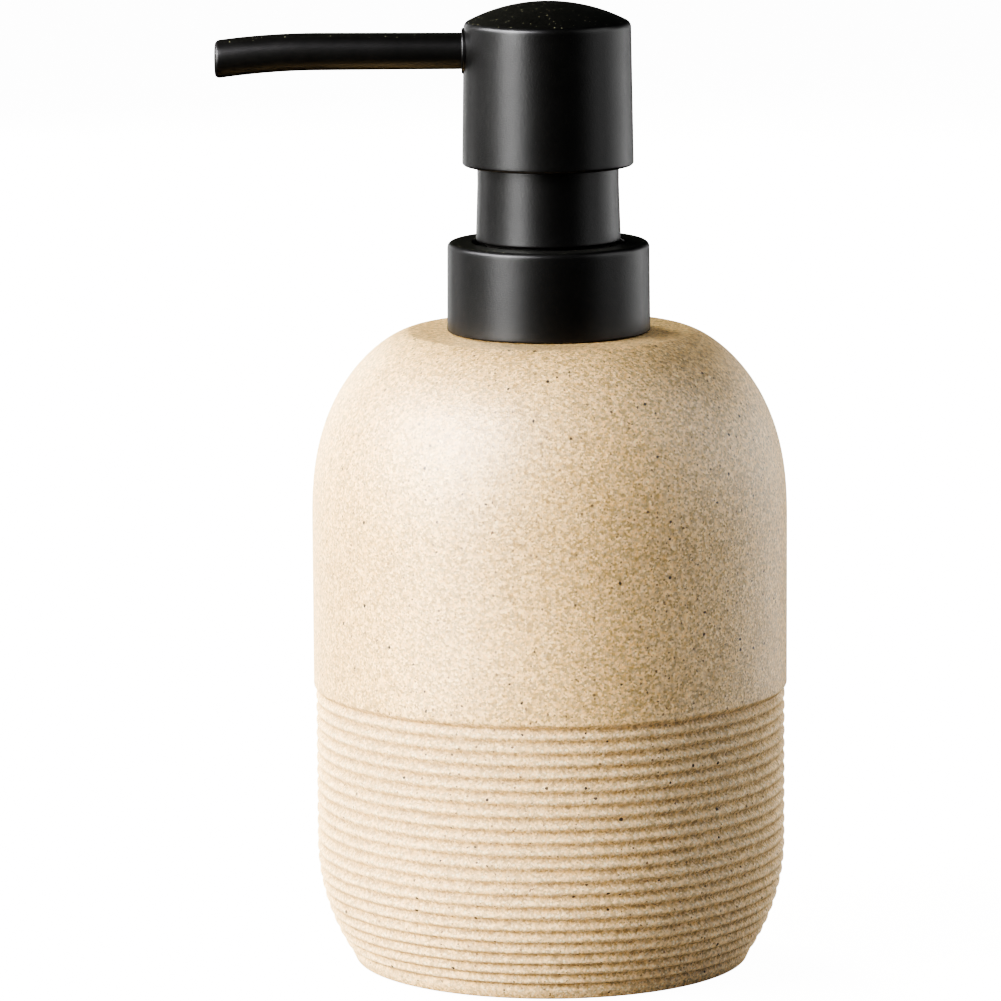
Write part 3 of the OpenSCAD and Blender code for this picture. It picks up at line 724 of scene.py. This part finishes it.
def spout(material):
    """The tube, from its root in the head along the outside, round the lip and back along the bore."""
    reach = -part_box("spout")[0].x
    root = -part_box("spout")[1].x
    tip = SPOUT_STRAIGHT + SPOUT_BEND_R * math.asin((reach - SPOUT_STRAIGHT) / SPOUT_BEND_R)
    lip, mouth = 0.75 * MM, 0.25 * MM
    bend = np.linspace(SPOUT_STRAIGHT, tip - lip, 26)
    along = [root + 0.2 * MM, *np.linspace(root + 1 * MM, SPOUT_STRAIGHT, 10)[:-1], *bend]
    outside = [(root, SPOUT_R - 0.2 * MM)] + [(d, SPOUT_R + SPOUT_FLARE * d / tip) for d in along]
    lip_r = SPOUT_R + SPOUT_FLARE - lip
    outside += [
        (tip - lip + lip * math.sin(a), lip_r + lip * math.cos(a))
        for a in np.radians([15, 30, 45, 60, 75, 90])
    ]
    inside = [
        (tip - mouth + mouth * math.cos(a), SPOUT_BORE_R + mouth - mouth * math.sin(a))
        for a in np.radians([0, 30, 60, 90])
    ]
    inside += [(d, SPOUT_BORE_R) for d in along[::-1]] + [(root, SPOUT_BORE_R)]
    piece = skin("spout_tube", [spout_ring(d, r, tip) for d, r in outside + inside])
    return place(piece, "head", "black_cap", material, "spout")


def spring(material):
    """A compression spring whose end turns are closed."""
    low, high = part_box("return_spring")
    mean_r = high.x - WIRE_R
    steps, sides = 40, 12
    count, bottom, top = SPRING_TURNS * steps, low.z + WIRE_R, high.z - WIRE_R
    closed = 2.04 * WIRE_R                               # rise of an end turn
    rings = []
    for i in range(count + 1):
        if i < steps:
            z = bottom + closed * i / steps
        elif i > count - steps:
            z = top - closed * (count - i) / steps
        else:
            z = bottom + closed + (top - bottom - 2 * closed) * (i - steps) / (count - 2 * steps)
        a = 2 * math.pi * i / steps
        ring = []
        for b in np.linspace(0, 2 * math.pi, sides, endpoint=False):
            r = mean_r + WIRE_R * math.cos(b)
            ring.append((r * math.cos(a), r * math.sin(a), z + WIRE_R * math.sin(b)))
        rings.append(ring)
    piece = skin("spring", rings, loop=False, sharp=50)
    place(piece, "pump_core", "steel", material, "return_spring")
    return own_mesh(piece)


def dress(material, *names):
    """Gives CAD nodes that stay in view their material."""
    for name in names:
        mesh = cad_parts[name].data
        mesh.materials.clear()
        mesh.materials.append(material)


# --- stage ------------------------------------------------------------------------
def soft_light(name, azimuth, elevation, width, height, power, colour, diffuse=True, glossy=True):
    """An area light aimed at the middle of the object, for the diffuse shading, the gloss or both."""
    target = (CAD_BOX[0] + CAD_BOX[1]) / 2
    target.x = target.y = 0
    a, e = math.radians(azimuth), math.radians(elevation)
    back = Vector((math.sin(a) * math.cos(e), -math.cos(a) * math.cos(e), math.sin(e)))
    data = bpy.data.lights.new(name, "AREA")
    data.shape, data.size, data.size_y = "RECTANGLE", width, height
    data.energy, data.color = power, colour
    light = bpy.data.objects.new(name, data)
    light.location = target + back * LIGHT_DISTANCE
    light.rotation_mode = "QUATERNION"
    light.rotation_quaternion = back.to_track_quat("Z", "Y")
    light.visible_camera = False
    light.visible_diffuse, light.visible_glossy = diffuse, glossy
    bpy.context.scene.collection.objects.link(light)


def floor():
    """A pale floor that shows near white, and that the black plastic doesn't mirror."""
    mesh = bpy.data.meshes.new("floor")
    reach = 6.0
    corners = [(-reach, -reach, 0), (reach, -reach, 0), (reach, reach, 0), (-reach, reach, 0)]
    mesh.from_pydata(corners, [], [(0, 1, 2, 3)])
    piece = bpy.data.objects.new("floor", mesh)
    bpy.context.scene.collection.objects.link(piece)
    material, tree, shader = new_material("floor")
    here = node(tree, "TexCoord").outputs["Object"]
    paint = ramp(tree, noise(tree, here, 3, 2), [(0.3, 0.32), (0.7, 0.36)])
    tree.links.new(paint, shader.inputs["Base Color"])
    shader.inputs["Roughness"].default_value = 0.9
    glow = node(tree, "Emission", {"Color": (1, 1, 1, 1), "Strength": 4.0}).outputs[0]
    both = node(tree, "AddShader", {0: shader.outputs[0], 1: glow}).outputs[0]
    seen = node(tree, "LightPath").outputs["Is Camera Ray"]
    mixed = node(tree, "MixShader", {0: seen, 1: shader.outputs[0], 2: both}).outputs[0]
    tree.links.new(mixed, tree.nodes["Material Output"].inputs["Surface"])
    mesh.materials.append(material)
    piece.visible_glossy = False


def studio():
    world = bpy.data.worlds.new("studio")
    bpy.context.scene.world = world
    world.use_nodes = True
    tree = world.node_tree
    seen = node(tree, "LightPath").outputs["Is Camera Ray"]
    white = node(tree, "Background", {"Color": (1, 1, 1, 1), "Strength": 5.0}).outputs[0]
    dim = node(tree, "Background", {"Color": (0.2, 0.45, 1.0, 1), "Strength": 0.11}).outputs[0]
    mixed = node(tree, "MixShader", {0: seen, 1: dim, 2: white}).outputs[0]
    tree.links.new(mixed, tree.nodes["World Output"].inputs["Surface"])
    world.cycles_visibility.glossy = False

    # wide panels light the stone, and two brows and the strips give the black plastic its highlights
    soft_light("key", -66, 14, 0.7, 0.5, 43, (1.0, 0.95, 0.78), glossy=False)
    soft_light("front_left", -30, 15, 0.5, 0.5, 2, (1.0, 0.85, 0.6), glossy=False)
    soft_light("above", 38, 62, 0.5, 0.5, 3.0, (0.78, 0.85, 0.85), glossy=False)
    soft_light("back_left", -150, 8, 0.4, 0.8, 58, (1.0, 1.0, 0.82), glossy=False)
    soft_light("right", 122, 12, 0.8, 0.5, 4.2, (1.0, 0.9, 0.66), glossy=False)
    soft_light("back_right", 150, 5, 0.6, 0.5, 12.5, (1.0, 0.96, 0.84), glossy=False)
    soft_light("brow", -44, 40, 0.7, 0.25, 8, (0.95, 0.93, 1.0), diffuse=False)
    soft_light("brow_left", -80, 34, 1.2, 0.3, 20, (0.97, 0.96, 1.0), diffuse=False)
    for azimuth, power in TALL_STRIPS:
        soft_light(f"strip_{azimuth}", azimuth, 20, 0.35, 1.3, power, (1, 1, 1), diffuse=False)
    for azimuth, power in LOW_STRIPS:
        soft_light(f"strip_{azimuth}", azimuth, 0, 0.35, 0.7, power, (1, 1, 1), diffuse=False)


def camera():
    data = bpy.data.cameras.new("camera")
    data.lens, data.sensor_width = LENS, 36
    data.clip_start, data.clip_end = 0.05, 50
    piece = bpy.data.objects.new("camera", data)
    turn, tip, roll = (math.radians(a) for a in (CAMERA_YAW, 90 - CAMERA_PITCH, -CAMERA_ROLL))
    aim = Matrix.Rotation(turn, 4, "Z") @ Matrix.Rotation(tip, 4, "X") @ Matrix.Rotation(roll, 4, "Z")
    piece.matrix_world = Matrix.Translation(CAMERA_AT) @ aim
    bpy.context.scene.collection.objects.link(piece)
    bpy.context.scene.camera = piece
    view = bpy.context.scene.view_settings
    view.view_transform, view.look = "AgX", "AgX - High Contrast"


stone = stone_resin()
satin = black_plastic("black_cap", (0.004, 0.004, 0.0042), 0.34, 0.42, 0.7)
hazy = black_plastic("black_spout", (0.004, 0.004, 0.0042), 0.34, 0.42, 0.7, greying=14, shine=0.42)
matte = black_plastic("black_plastic", (0.016, 0.016, 0.017), 0.45, 0.58, 0.8)
milky = natural_plastic()
wire = steel()
soft = foam()

camera()
bottle_body(stone)
base_pad(soft)
neck_insert(milky)
collar(satin)
sleeve(satin)
head(satin)
spout(hazy)
spring(wire)
dress(matte, "stem", "stem_guide", "head_core", "closure_nut")
dress(milky, "pump_housing", "lower_stem", "piston", "dip_tube")
dress(soft, "gasket")
dress(wire, "inlet_ball")
floor()
studio()
